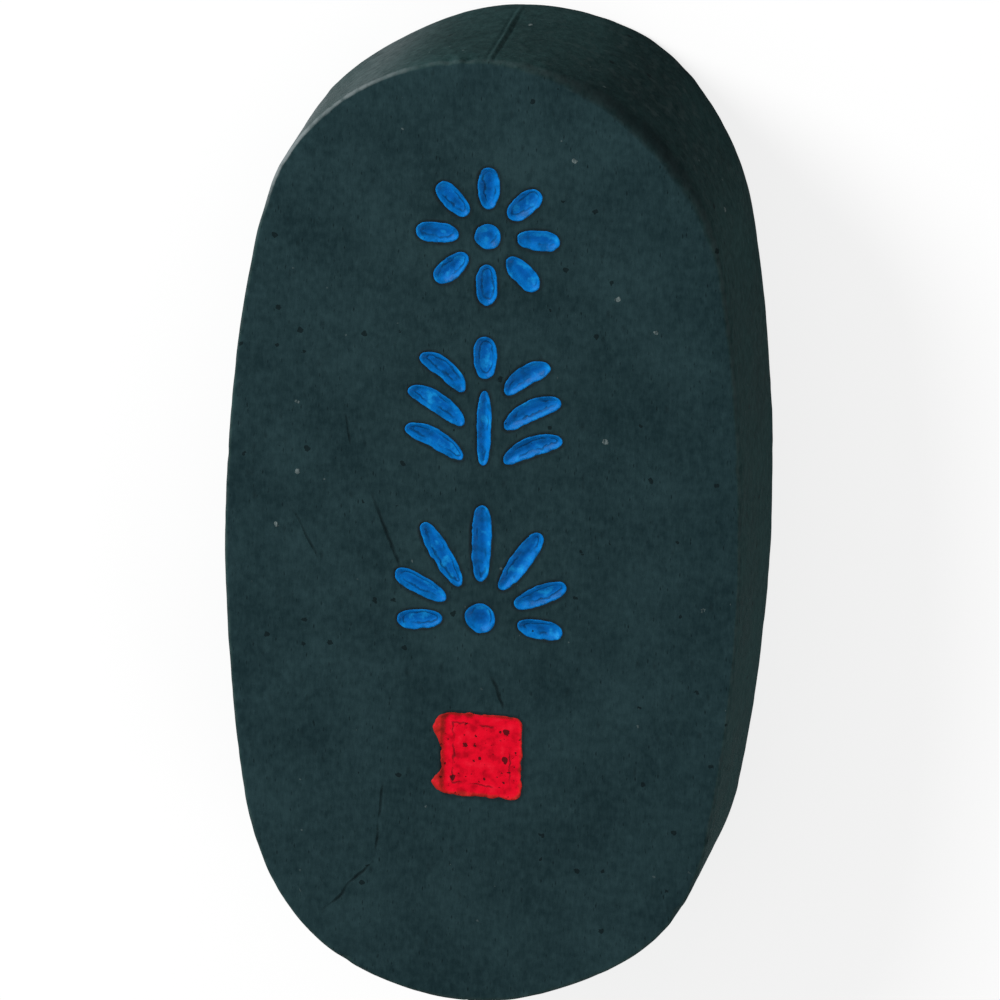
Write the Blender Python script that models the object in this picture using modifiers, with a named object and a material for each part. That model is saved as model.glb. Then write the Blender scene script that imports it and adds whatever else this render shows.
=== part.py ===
"""Pressed ink stick: one long oval cake of ink, lying on its plain back.

The marked face looks up. Three pressed ornaments in a column hold dried blue
pigment, and a square field below them holds dried red pigment. Every deposit
of pigment lies in a bed of its own, pressed into the cake.

Metres, +Z up. The origin is the middle of the back, the stick's length runs
along Y with the ornaments' heads at +Y, and its width runs along X.
"""

import math

import bmesh
import bpy
from mathutils import Matrix, Vector

# ---------------------------------------------------------------- cake
CAKE_LENGTH = 0.067
CAKE_WIDTH = 0.035
CAKE_THICKNESS = 0.012
SIDE_RADIUS = 0.119  # the long sides bow out on arcs of this radius
EDGE_ROUND = 0.0006  # rounding where the faces meet the wall
EDGE_STEPS = 3
END_STEPS = 26
SIDE_STEPS = 12

# ---------------------------------------------------------------- pigment and its beds
BLUE_THICKNESS = 0.00045
RED_THICKNESS = 0.00035
PIGMENT_SUNK = 0.0002  # the pigment's top lies this far below the face
BED_CLEARANCE = 0.0003  # free space between a deposit and its bed, all round

# ---------------------------------------------------------------- places of the ornaments
FIRST_ORNAMENT_FROM_END = 0.0124  # from the +Y end to the middle of the first one
ORNAMENT_PITCH = 0.0117
SEAL_FROM_LAST_ORNAMENT = 0.0134
SEAL_ASIDE = 0.0003

# ---------------------------------------------------------------- blossom, the first ornament
BLOSSOM_PETALS = 8
BLOSSOM_HEART = 0.0017  # diameter
BLOSSOM_PETAL_ROOT = 0.0020  # from the heart's middle to a petal's root
BLOSSOM_PETAL_LENGTH = 0.0028
BLOSSOM_PETAL_WIDTH = 0.0014

# ---------------------------------------------------------------- sprig, the second ornament
SPRIG_STEM_FOOT = -0.0044  # from the ornament's middle
SPRIG_STEM_LENGTH = 0.0052
SPRIG_STEM_WIDTH = 0.0009
SPRIG_CROWN_ROOT = 0.0017
SPRIG_CROWN_LENGTH = 0.0029
SPRIG_CROWN_WIDTH = 0.0015
SPRIG_LEAF_WIDTH = 0.0013
SPRIG_LEAF_BOW = -0.0003
SPRIG_LEAF_ASIDE = 0.0014  # from the stem's middle to a leaf's root
SPRIG_LEAVES = {  # height of the root, length, lean from upright in degrees
    "lower": (-0.0041, 0.0043, 64),
    "middle": (-0.0017, 0.0043, 59),
    "upper": (0.0007, 0.0037, 52),
}

# ---------------------------------------------------------------- fan, the third ornament
FAN_HEART = 0.0020  # diameter
FAN_HEART_DROP = 0.0036  # below the ornament's middle
FAN_PETAL_ROOT = 0.0026  # from the heart's middle to a petal's root
FAN_PETAL_WIDTH = 0.0013
FAN_PETALS = {  # lean from upright in degrees, length
    "inner": (32, 0.0049),
    "outer": (64, 0.0038),
    "base": (96, 0.0030),
}
FAN_MIDDLE_PETAL_LENGTH = 0.0054

# ---------------------------------------------------------------- seal field
SEAL_WIDTH = 0.0054
SEAL_HEIGHT = 0.0058
SEAL_CORNER = 0.0006

STROKE_STEPS = 9  # points along each side of a stroke
STROKE_BELLY = 0.58  # how far along a stroke its widest place lies
STROKE_FULLNESS = 2.3  # 2 is an ellipse's round end, more is blunter

# ---------------------------------------------------------------- finishes: colour, roughness
INK = ((0.030, 0.044, 0.049), 0.62)
BLUE = ((0.004, 0.130, 0.560), 0.38)
RED = ((0.720, 0.006, 0.020), 0.50)


def clear_scene():
    for old in list(bpy.data.objects):
        bpy.data.objects.remove(old)


def make_collection(name):
    collection = bpy.data.collections.new(name)
    bpy.context.scene.collection.children.link(collection)
    return collection


def make_material(name, finish):
    colour, roughness = finish
    material = bpy.data.materials.new(name)
    material.use_nodes = True
    shader = material.node_tree.nodes["Principled BSDF"]
    shader.inputs["Base Color"].default_value = (*colour, 1)
    shader.inputs["Roughness"].default_value = roughness
    shader.inputs["Metallic"].default_value = 0
    return material


# ---------------------------------------------------------------- outlines


def arc(middle, radius, first, last, steps):
    """Points on an arc from angle first towards angle last, without the last one."""
    turns = [first + (last - first) * step / steps for step in range(steps)]
    return [middle + radius * Vector((math.cos(turn), math.sin(turn))) for turn in turns]


def long_oval(length, width, side_radius):
    """Two long side arcs and two round ends that meet them on common tangents."""
    a = width / 2
    b = length / 2
    end_radius = (2 * side_radius * a - a * a - b * b) / (2 * (side_radius - b))
    end_y = b - end_radius
    side_x = side_radius - a
    meet = math.atan2(end_y, side_x)
    right = arc(Vector((-side_x, 0)), side_radius, -meet, meet, SIDE_STEPS)
    top = arc(Vector((0, end_y)), end_radius, meet, math.pi - meet, END_STEPS)
    half = right + top
    return half + [-point for point in half]


def rounded_rectangle(width, height, corner):
    x = width / 2 - corner
    y = height / 2 - corner
    steps = 4
    points = []
    for turn, (across, up) in enumerate([(1, 1), (-1, 1), (-1, -1), (1, -1)]):
        start = turn * math.pi / 2
        middle = Vector((across * x, up * y))
        points += arc(middle, corner, start, start + math.pi / 2, steps)
        points.append(middle + corner * Vector((math.cos(start + math.pi / 2), math.sin(start + math.pi / 2))))
    return points


def circle(diameter):
    return arc(Vector((0, 0)), diameter / 2, 0, math.tau, 2 * STROKE_STEPS)


def stroke(length, width, bow=0.0, belly=STROKE_BELLY):
    """A blade-shaped stroke from its root at the origin to its tip on +Y, both ends round."""

    def place(step, side):
        along = (1 - math.cos(math.pi * step / STROKE_STEPS)) / 2
        if along < belly:
            off_middle = 1 - along / belly
        else:
            off_middle = (along - belly) / (1 - belly)
        half = width / 2 * (1 - off_middle**STROKE_FULLNESS) ** (1 / STROKE_FULLNESS)
        sag = 4 * bow * along * (1 - along)
        return Vector((side * half + sag, along * length))

    right = [place(step, 1) for step in range(STROKE_STEPS)]
    left = [place(step, -1) for step in range(STROKE_STEPS, 0, -1)]
    return right + left


def widened(points, distance):
    """The same outline, moved outwards by distance; the points run anticlockwise."""
    count = len(points)
    moved = []
    for index, point in enumerate(points):
        along = points[(index + 1) % count] - points[index - 1]
        outwards = Vector((along.y, -along.x)).normalized()
        moved.append(point + distance * outwards)
    return moved


def placed(points, x, y, lean=0.0):
    """The outline leant clockwise from upright by lean degrees, with its root at x, y."""
    turn = Matrix.Rotation(-math.radians(lean), 2)
    return [turn @ point + Vector((x, y)) for point in points]


def mirrored(points):
    """The outline on the other side of the stick's middle line, still anticlockwise."""
    return [Vector((-point.x, point.y)) for point in reversed(points)]


def on_both_sides(name, points):
    return {f"{name}_right": points, f"{name}_left": mirrored(points)}


# ---------------------------------------------------------------- ornaments


def blossom(y):
    deposits = {"blossom_heart": placed(circle(BLOSSOM_HEART), 0, y)}
    petal = stroke(BLOSSOM_PETAL_LENGTH, BLOSSOM_PETAL_WIDTH)
    for number in range(BLOSSOM_PETALS):
        lean = 360 / BLOSSOM_PETALS * number
        x = BLOSSOM_PETAL_ROOT * math.sin(math.radians(lean))
        up = BLOSSOM_PETAL_ROOT * math.cos(math.radians(lean))
        deposits[f"blossom_petal_{number + 1}"] = placed(petal, x, y + up, lean)
    return deposits


def sprig(y):
    stem = stroke(SPRIG_STEM_LENGTH, SPRIG_STEM_WIDTH, belly=0.5)
    crown = stroke(SPRIG_CROWN_LENGTH, SPRIG_CROWN_WIDTH)
    deposits = {
        "sprig_stem": placed(stem, 0, y + SPRIG_STEM_FOOT),
        "sprig_crown_leaf": placed(crown, 0, y + SPRIG_CROWN_ROOT),
    }
    for name, (height, length, lean) in SPRIG_LEAVES.items():
        leaf = stroke(length, SPRIG_LEAF_WIDTH, bow=SPRIG_LEAF_BOW)
        leaf = placed(leaf, SPRIG_LEAF_ASIDE, y + height, lean)
        deposits |= on_both_sides(f"sprig_{name}_leaf", leaf)
    return deposits


def fan(y):
    heart_y = y - FAN_HEART_DROP
    middle = stroke(FAN_MIDDLE_PETAL_LENGTH, FAN_PETAL_WIDTH)
    deposits = {
        "fan_heart": placed(circle(FAN_HEART), 0, heart_y),
        "fan_middle_petal": placed(middle, 0, heart_y + FAN_PETAL_ROOT),
    }
    for name, (lean, length) in FAN_PETALS.items():
        x = FAN_PETAL_ROOT * math.sin(math.radians(lean))
        up = FAN_PETAL_ROOT * math.cos(math.radians(lean))
        petal = placed(stroke(length, FAN_PETAL_WIDTH), x, heart_y + up, lean)
        deposits |= on_both_sides(f"fan_{name}_petal", petal)
    return deposits


def seal(y):
    field = rounded_rectangle(SEAL_WIDTH, SEAL_HEIGHT, SEAL_CORNER)
    return {"seal_field": placed(field, SEAL_ASIDE, y)}


# ---------------------------------------------------------------- solids


def plate(name, points, bottom, top, collection):
    """A flat plate with the given outline, between two heights, as a welded mesh."""
    curve = bpy.data.curves.new(name, "CURVE")
    curve.dimensions = "2D"
    curve.fill_mode = "BOTH"
    curve.extrude = (top - bottom) / 2
    spline = curve.splines.new("POLY")
    spline.points.add(len(points) - 1)
    for target, point in zip(spline.points, points):
        target.co = (point.x, point.y, 0, 1)
    spline.use_cyclic_u = True
    drawn = bpy.data.objects.new(name, curve)
    drawn.location.z = (top + bottom) / 2
    collection.objects.link(drawn)
    bpy.context.view_layer.update()

    evaluated = drawn.evaluated_get(bpy.context.evaluated_depsgraph_get())
    mesh = bpy.data.meshes.new_from_object(evaluated)
    welded = bmesh.new()
    welded.from_mesh(mesh)
    bmesh.ops.remove_doubles(welded, verts=welded.verts, dist=0.000001)
    welded.to_mesh(mesh)
    welded.free()

    place = drawn.matrix_world.copy()
    bpy.data.objects.remove(drawn)
    solid = bpy.data.objects.new(name, mesh)
    solid.matrix_world = place
    collection.objects.link(solid)
    return solid


def add_deposit(name, points, thickness, material, parts, cutters):
    """One deposit of dried pigment, and the cutter that presses its bed."""
    top = CAKE_THICKNESS - PIGMENT_SUNK
    bottom = top - thickness
    deposit = plate(name, points, bottom, top, parts)
    deposit.data.materials.append(material)

    above_face = CAKE_THICKNESS + BED_CLEARANCE
    bed = widened(points, BED_CLEARANCE)
    cutter = plate(f"{name}_bed", bed, bottom - BED_CLEARANCE, above_face, cutters)
    cutter.hide_render = True
    cutter.display_type = "WIRE"


def add_cake(parts, cutters):
    """The oval cake: rounded at both edges, then pressed with every bed."""
    outline = long_oval(CAKE_LENGTH, CAKE_WIDTH, SIDE_RADIUS)
    cake = plate("ink_cake", outline, 0, CAKE_THICKNESS, parts)
    cake.data.materials.append(make_material("pressed_ink", INK))

    edges = cake.modifiers.new("rounded_edges", "BEVEL")
    edges.width = EDGE_ROUND
    edges.segments = EDGE_STEPS
    edges.limit_method = "ANGLE"
    edges.angle_limit = math.radians(60)

    beds = cake.modifiers.new("pressed_beds", "BOOLEAN")
    beds.operation = "DIFFERENCE"
    beds.operand_type = "COLLECTION"
    beds.collection = cutters
    beds.solver = "EXACT"

    cake.data.shade_smooth()
    cake.data.set_sharp_from_angle(angle=math.radians(40))


def build():
    clear_scene()
    parts = make_collection("ink_stick")
    cutters = make_collection("beds")

    first_y = CAKE_LENGTH / 2 - FIRST_ORNAMENT_FROM_END
    second_y = first_y - ORNAMENT_PITCH
    third_y = second_y - ORNAMENT_PITCH
    seal_y = third_y - SEAL_FROM_LAST_ORNAMENT

    for name, points in (blossom(first_y) | sprig(second_y) | fan(third_y)).items():
        material = make_material(f"{name}_blue", BLUE)
        add_deposit(name, points, BLUE_THICKNESS, material, parts, cutters)
    for name, points in seal(seal_y).items():
        material = make_material(f"{name}_red", RED)
        add_deposit(name, points, RED_THICKNESS, material, parts, cutters)
    add_cake(parts, cutters)


build()
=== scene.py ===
# %% [markdown]
# # A pressed ink stick
# Soot and glue are kneaded into a dark dough, pressed in a carved wooden mould and
# dried for months. What comes out is one hard oval cake with soft edges, a thin line
# of flash where the mould's halves met, and grooves that are painted afterwards.
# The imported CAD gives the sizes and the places. This script gives the surface.

import math

import bmesh
import bpy
import numpy as np
from mathutils import Matrix, Vector
from mathutils.geometry import delaunay_2d_cdt


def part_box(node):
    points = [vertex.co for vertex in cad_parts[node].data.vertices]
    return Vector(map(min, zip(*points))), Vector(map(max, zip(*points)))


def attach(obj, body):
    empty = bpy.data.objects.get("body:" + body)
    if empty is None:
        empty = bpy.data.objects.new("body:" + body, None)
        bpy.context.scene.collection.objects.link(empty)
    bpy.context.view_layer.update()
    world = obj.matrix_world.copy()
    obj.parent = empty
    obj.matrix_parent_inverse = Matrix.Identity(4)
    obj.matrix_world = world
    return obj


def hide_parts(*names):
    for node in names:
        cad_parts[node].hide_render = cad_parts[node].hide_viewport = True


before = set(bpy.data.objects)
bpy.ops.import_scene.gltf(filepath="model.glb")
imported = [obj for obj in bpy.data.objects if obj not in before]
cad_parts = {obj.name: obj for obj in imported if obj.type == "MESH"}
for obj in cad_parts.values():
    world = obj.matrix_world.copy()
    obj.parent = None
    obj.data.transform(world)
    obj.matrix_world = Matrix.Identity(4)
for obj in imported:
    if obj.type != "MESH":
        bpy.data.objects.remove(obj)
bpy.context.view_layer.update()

# %% [markdown]
# The work is done in millimetres, because every detail here is a fraction of one.
# The cake's own box gives its length, width and thickness. Only the radius of the long
# sides is written again, because a box can't tell how much they bow.

# %% Measure the cake
MM = 0.001
lowest, highest = (np.array(corner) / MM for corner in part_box("ink_cake"))
HALF_WIDTH = (highest[0] - lowest[0]) / 2
HALF_LENGTH = (highest[1] - lowest[1]) / 2
FACE = highest[2]
SIDE_RADIUS = 119.0

blue_nodes = sorted(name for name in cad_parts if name.startswith(("blossom", "sprig", "fan")))
print("cake", 2 * HALF_WIDTH, "x", 2 * HALF_LENGTH, "x", FACE, "mm,", len(blue_nodes), "blue deposits")

# %% [markdown]
# The outline is four arcs that meet on common tangents. On such a curve the direction
# of the outward normal says which arc a point is on, so one function of that direction
# gives every point, and the length along the curve grows evenly with it on each arc.

# %% The long oval
END_RADIUS = (2 * SIDE_RADIUS * HALF_WIDTH - HALF_WIDTH**2 - HALF_LENGTH**2) / (
    2 * (SIDE_RADIUS - HALF_LENGTH)
)
END_Y = HALF_LENGTH - END_RADIUS
SIDE_X = SIDE_RADIUS - HALF_WIDTH
MEET = math.atan2(END_Y, SIDE_X)
turn_knots = np.array([-math.pi / 2, -MEET, MEET, math.pi - MEET, math.pi + MEET, 1.5 * math.pi])
arc_radii = np.array([END_RADIUS, SIDE_RADIUS, END_RADIUS, SIDE_RADIUS, END_RADIUS])
way_knots = np.concatenate([[0.0], np.cumsum(np.diff(turn_knots) * arc_radii)])


def way_at(turn):
    """Length along the oval from its -Y end to where the normal points along turn."""
    return np.interp(turn, turn_knots, way_knots)


def oval(way):
    """Points on the oval and their outward normals, for lengths along it."""
    way = np.mod(way, way_knots[-1])
    turn = np.interp(way, way_knots, turn_knots)
    normal = np.stack([np.cos(turn), np.sin(turn)], axis=-1)
    right = np.abs(turn) <= MEET
    left = np.abs(turn - math.pi) <= MEET
    side = right | left
    radius = np.where(side, SIDE_RADIUS, END_RADIUS)
    middle_x = np.where(right, -SIDE_X, np.where(left, SIDE_X, 0.0))
    middle_y = np.where(side, 0.0, np.where(normal[..., 1] > 0, END_Y, -END_Y))
    return np.stack([middle_x, middle_y], axis=-1) + radius[..., None] * normal, normal


print("the oval is", round(way_knots[-1], 1), "mm round, its ends have a radius of", round(END_RADIUS, 2))

# %% [markdown]
# A hand-pressed cake is never quite flat. Smooth noise on a lattice gives the slow
# waves of the dough and the grit of its skin. It is seeded, so each run is the same.

# %% Smooth noise
def noise(x, y, cell, seed, columns=256):
    """Smooth noise from -1 to 1 that changes over about cell millimetres."""
    lattice = np.random.default_rng(seed).uniform(-1, 1, (256, columns))
    column, across = np.divmod(np.asarray(x) / cell, 1)
    row, up = np.divmod(np.asarray(y) / cell, 1)
    column, row = column.astype(int) % columns, row.astype(int) % 256
    next_column, next_row = (column + 1) % columns, (row + 1) % 256
    across = across * across * (3 - 2 * across)
    up = up * up * (3 - 2 * up)
    near = lattice[row, column] * (1 - across) + lattice[row, next_column] * across
    far = lattice[next_row, column] * (1 - across) + lattice[next_row, next_column] * across
    return near * (1 - up) + far * up


def bell(distance, reach):
    """1 at no distance, falling smoothly to nearly 0 at twice the reach."""
    return np.exp(-((distance / reach) ** 2))


# %% [markdown]
# Each deposit of pigment is a flat plate in the CAD, with few corners. Its outline is
# read from the plate's top, rounded with a Catmull-Rom curve through its corners, and
# then used twice: the cake gets a groove there, and the pigment lies in the groove.
# The seal's field keeps its straight sides.

# %% Outlines of the deposits
OUTLINE_STEP = 0.1
CURVE_POINTS = 8
WELD = 0.000002


def top_corners(name):
    """The corners of a flat plate's upper outline, in order, in millimetres."""
    plate = bmesh.new()
    plate.from_mesh(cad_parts[name].data)
    bmesh.ops.remove_doubles(plate, verts=plate.verts, dist=WELD)
    top = {face for face in plate.faces if face.normal.z > 0.9}
    rim = [edge for edge in plate.edges if len(top.intersection(edge.link_faces)) == 1]
    following = {}
    for edge in rim:
        for vert in edge.verts:
            following.setdefault(vert, []).append(edge.other_vert(vert))
    first = rim[0].verts[0]
    path = [first]
    here, came_from = following[first][0], first
    while here != first:
        path.append(here)
        ahead = [vert for vert in following[here] if vert != came_from]
        here, came_from = ahead[0], here
    corners = np.array([(vert.co.x / MM, vert.co.y / MM) for vert in path])
    plate.free()
    following_x = np.roll(corners[:, 0], -1)
    following_y = np.roll(corners[:, 1], -1)
    area = np.sum(corners[:, 0] * following_y - following_x * corners[:, 1])
    return corners if area > 0 else corners[::-1]


def even_steps(points, step):
    """The closed outline again, with points spaced evenly along it."""
    closed = np.vstack([points, points[:1]])
    ways = np.concatenate([[0], np.cumsum(np.linalg.norm(np.diff(closed, axis=0), axis=1))])
    places = np.linspace(0, ways[-1], max(int(ways[-1] / step), 8), endpoint=False)
    return np.stack([np.interp(places, ways, closed[:, 0]), np.interp(places, ways, closed[:, 1])], axis=1)


def rounded(corners):
    """A smooth closed curve through the corners."""
    before, after = np.roll(corners, 1, axis=0), np.roll(corners, -1, axis=0)
    beyond = np.roll(corners, -2, axis=0)
    points = []
    for part in np.linspace(0, 1, CURVE_POINTS, endpoint=False):
        points.append(
            0.5
            * (
                2 * corners
                + (after - before) * part
                + (2 * before - 5 * corners + 4 * after - beyond) * part**2
                + (3 * corners - before - 3 * after + beyond) * part**3
            )
        )
    return even_steps(np.stack(points, axis=1).reshape(-1, 2), OUTLINE_STEP)


def outwards(outline):
    """The outline's outward normals."""
    along = np.roll(outline, -1, axis=0) - np.roll(outline, 1, axis=0)
    normal = np.stack([along[:, 1], -along[:, 0]], axis=1)
    return normal / np.linalg.norm(normal, axis=1)[:, None]


def depth_inside(points, outline):
    """How far each point lies inside a closed outline; outside it is negative."""
    start = outline
    edge = np.roll(outline, -1, axis=0) - start
    offset = points[:, None] - start[None]
    share = np.clip((offset * edge).sum(-1) / (edge**2).sum(-1), 0, 1)
    distance = np.linalg.norm(offset - share[..., None] * edge, axis=-1).min(axis=1)
    end = start + edge
    spans = (start[:, 1] > points[:, None, 1]) != (end[:, 1] > points[:, None, 1])
    rise = np.where(edge[:, 1] == 0, 1e-9, edge[:, 1])
    crossing_x = start[:, 0] + (points[:, None, 1] - start[:, 1]) * edge[:, 0] / rise
    inside = np.sum(spans & (points[:, None, 0] < crossing_x), axis=1) % 2 == 1
    return np.where(inside, distance, -distance)


blue_outlines = {name: rounded(top_corners(name)) for name in blue_nodes}
seal_outline = even_steps(top_corners("seal_field"), OUTLINE_STEP)
print("outlines have", sum(len(outline) for outline in blue_outlines.values()), "points in all")

# %% [markdown]
# The surface of the cake is one function of x and y. A groove falls steeply from its
# lip and then eases towards the middle of the stroke, where both sides meet in a
# valley, as a groove does that a carved ridge has pressed. The dough that the ridge
# pushes aside stands up as a very low lip round it.

# %% Grooves and the seal's bed
GROOVE_DEPTH = 0.50
GROOVE_EASE = 0.24
LIP_ROUND = 0.035
LIP_HEIGHT = 0.03
LIP_REACH = 0.11
SEAL_BED_DEPTH = 0.24
SEAL_BED_EASE = 0.09
# Painted shadow that each groove's lip casts just outside it:
LIP_SHADOW_MARGIN = 0.6
LIP_SHADOW_AWAY = 0.09
LIP_SHADOW_REACH = 0.11


def eased(inside):
    """The depth inside an outline, rounded off where it crosses zero."""
    return LIP_ROUND * np.logaddexp(0, inside / LIP_ROUND)


def pressed(inside, depth, ease):
    """Height change that a pressed outline makes, for depths inside it."""
    lip = LIP_HEIGHT * bell(inside + LIP_REACH, LIP_REACH * 0.7)
    return lip - depth * (1 - np.exp(-eased(inside) / ease))


def close_to(points, outline, margin):
    """Which points are in the box round an outline, with a margin."""
    return np.all(
        (points > outline.min(axis=0) - margin) & (points < outline.max(axis=0) + margin), axis=1
    )


def beds_height(points):
    """Height change at the points that the pressed beds make, in millimetres."""
    height = np.zeros(len(points))
    pressings = [(outline, GROOVE_DEPTH, GROOVE_EASE) for outline in blue_outlines.values()]
    pressings.append((seal_outline, SEAL_BED_DEPTH, SEAL_BED_EASE))
    for outline, depth, ease in pressings:
        near = close_to(points, outline, 4 * LIP_REACH)
        if near.any():
            height[near] += pressed(depth_inside(points[near], outline), depth, ease)
    return height


def lip_shadow_round_grooves(points):
    """1 just outside a groove's lip, where the lip's shadow is painted."""
    lip_shadow = np.zeros(len(points))
    for outline in [seal_outline, *blue_outlines.values()]:
        near = close_to(points, outline, LIP_SHADOW_MARGIN)
        lip_shade = bell(depth_inside(points[near], outline) + LIP_SHADOW_AWAY, LIP_SHADOW_REACH)
        lip_shadow[near] = np.maximum(lip_shadow[near], lip_shade)
    return lip_shadow


print("grooves are", GROOVE_DEPTH, "mm deep, the seal's bed", SEAL_BED_DEPTH, "mm")

# %% [markdown]
# Air in the dough leaves small pits, and the face sinks a little unevenly as the cake
# dries. Both are too shallow to change the outline, but they are what keeps the face
# from looking like plastic.

# %% The skin of the marked face
FACE_SUNK = 0.07
SKIN_WAVES = [  # height, size, seed, and how much the noise is squeezed along the stick
    (0.050, 9.0, 1, 1.0),
    (0.022, 3.1, 2, 1.0),
    (0.008, 0.9, 3, 0.45),
    (0.004, 0.35, 4, 1.0),
]
PIT_COUNT = 170
pit_draw = np.random.default_rng(21)
pit_places = pit_draw.uniform([-HALF_WIDTH, -HALF_LENGTH], [HALF_WIDTH, HALF_LENGTH], (PIT_COUNT, 2))
pit_reach = pit_draw.uniform(0.10, 0.30, PIT_COUNT) ** 1.2
pit_depth = pit_reach * pit_draw.uniform(0.15, 0.35, PIT_COUNT)


def skin_height(points):
    """Slow waves, fine grit and small pits in the face."""
    x, y = points[:, 0], points[:, 1]
    height = sum(tall * noise(x, y * squeeze, cell, seed) for tall, cell, seed, squeeze in SKIN_WAVES)
    for place, reach, depth in zip(pit_places, pit_reach, pit_depth):
        near = np.abs(points - place).max(axis=1) < 3 * reach
        height[near] -= depth * bell(np.linalg.norm(points[near] - place, axis=1), reach)
    return height


def face_height(points):
    """Height of the finished face at the points."""
    return FACE - FACE_SUNK + skin_height(points) + beds_height(points)


print("the face has", PIT_COUNT, "pits, the widest", round(2 * pit_reach.max(), 2), "mm across")

# %% [markdown]
# The cake could be a box with a Boolean for each groove, but its facets would show.
# Instead one net of faces follows the surface: a fine grid where the ornaments are,
# rings of faces from the grid out to the edge, round the edge, down the wall and in
# under the back. Every corner of the net then takes its height from the functions above.

# %% Places on the net
COLUMNS = 100
ROWS = 352
RING_ROWS = 30
RING_BUNCHING = 1.3
EDGE_ROWS = 5
WALL_ROWS = 14
CORE_MARGIN = 0.7
CORNER_TURN = math.radians(55)
SEAM_DENSITY = 0.45

pressed_points = np.vstack([seal_outline, *blue_outlines.values()])
core_x = np.abs(pressed_points[:, 0]).max() + CORE_MARGIN
core_bottom = pressed_points[:, 1].min() - CORE_MARGIN
core_top = pressed_points[:, 1].max() + CORE_MARGIN
core = np.stack(
    np.meshgrid(np.linspace(-core_x, core_x, COLUMNS + 1), np.linspace(core_bottom, core_top, ROWS + 1)),
    axis=-1,
).reshape(-1, 2)

numbers = np.arange(len(core)).reshape(ROWS + 1, COLUMNS + 1)
core_rim = np.concatenate([numbers[:-1, -1], numbers[-1, :0:-1], numbers[:0:-1, 0], numbers[0, :-1]])


def seam_steps(first, last, count):
    """Lengths along the oval that lie closer together midway, where a seam is."""
    share = np.linspace(-1, 1, count, endpoint=False)
    share = SEAM_DENSITY * share + (1 - SEAM_DENSITY) * share**3
    return (first + last) / 2 + share * (last - first) / 2


corner_turns = [-CORNER_TURN, CORNER_TURN, math.pi - CORNER_TURN, math.pi + CORNER_TURN]
corner_ways = [way_at(turn) for turn in corner_turns]
ways = np.concatenate(
    [
        np.linspace(corner_ways[0], corner_ways[1], ROWS, endpoint=False),
        seam_steps(corner_ways[1], corner_ways[2], COLUMNS),
        np.linspace(corner_ways[2], corner_ways[3], ROWS, endpoint=False),
        seam_steps(corner_ways[3], corner_ways[0] + way_knots[-1], COLUMNS),
    ]
)
rim_points, rim_normals = oval(ways)
print("the net is", len(ways), "faces round, and its fine grid has", COLUMNS * ROWS, "faces")

# %% [markdown]
# A hand-pressed cake is a little out of true. Each line below says where on the
# outline it stands out or in, by the direction of the outward normal there, over how
# wide a sweep, and how much at the face and at the back.

# %% Out of true
OUT_OF_TRUE = [  # direction, sweep in degrees, at the face, at the back in millimetres
    (57, 21, 0.00, 0.62),
    (122, 22, -0.05, -0.62),
    (165, 8, -0.22, 0.00),
    (228, 21, 0.46, 0.30),
    (294, 17, -0.34, -0.25),
    (328, 12, 0.12, 0.10),
]
rim_turns = np.degrees(np.arctan2(rim_normals[:, 1], rim_normals[:, 0]))


def sweep_bell(direction, sweep):
    """1 where the rim faces that direction, falling to 0 over the sweep."""
    away = (rim_turns - direction + 180) % 360 - 180
    return bell(away, sweep)


def lean(z):
    """How far the rim stands out at height z because the cake is out of true."""
    raised = np.clip(z / FACE, 0, 1)
    parts = [
        sweep_bell(direction, sweep) * (back + (face - back) * raised)
        for direction, sweep, face, back in OUT_OF_TRUE
    ]
    return sum(parts)


print("the outline is up to", max(abs(back) for *_, back in OUT_OF_TRUE), "mm out of true")

# %% [markdown]
# The edge of the face isn't equally round. Fingers and the mould's lid have worn it
# soft on one shoulder, and left it crisp elsewhere. The radius is read from a few
# values round the stick, by the direction that the rim faces.

# %% How round the edges are
edge_directions = [-180, -90, -40, 0, 8, 20, 35, 50, 68, 82, 90, 120, 180]
edge_radii = [0.30, 0.35, 0.25, 0.24, 0.34, 0.60, 0.80, 0.85, 0.80, 0.52, 0.36, 0.30, 0.30]
BACK_EDGE = 0.45


def round_noise(z, cell, seed):
    """Noise over the wall that closes on itself round the stick."""
    columns = round(way_knots[-1] / cell)
    return noise(ways * columns / way_knots[-1], z / cell, 1.0, seed, columns)


face_edge_radius = np.interp(rim_turns, edge_directions, edge_radii)
face_edge_radius *= 1 + 0.12 * round_noise(0 * ways, 5.0, 5) + 0.10 * round_noise(0 * ways, 1.3, 55)
back_edge_radius = BACK_EDGE * (1 + 0.25 * round_noise(0 * ways, 4.0, 6))
narrowest, widest = face_edge_radius.min().round(2), face_edge_radius.max().round(2)
print("the face's edge is rounded", narrowest, "to", widest, "mm")

# %% [markdown]
# The wall carries the marks of the mould. Where its two side pieces met, at the ends
# of the stick, dough crept in and left a thin ridge of flash with a faint furrow on
# each side. One shoulder stuck to the wood and came out rough.

# %% Relief of the wall
FLASH_HEIGHT = 0.13
FLASH_REACH = 0.12
FURROW_AWAY = 0.27
FURROW_DEPTH = 0.07
FURROW_REACH = 0.09
SEAM_ASIDE = 0.12
SEAM_WANDER = 0.05
SEAM_NEAR = 3.0
WALL_SUNK = 0.03
ROUGH_SHOULDER = (52, 24)


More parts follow.
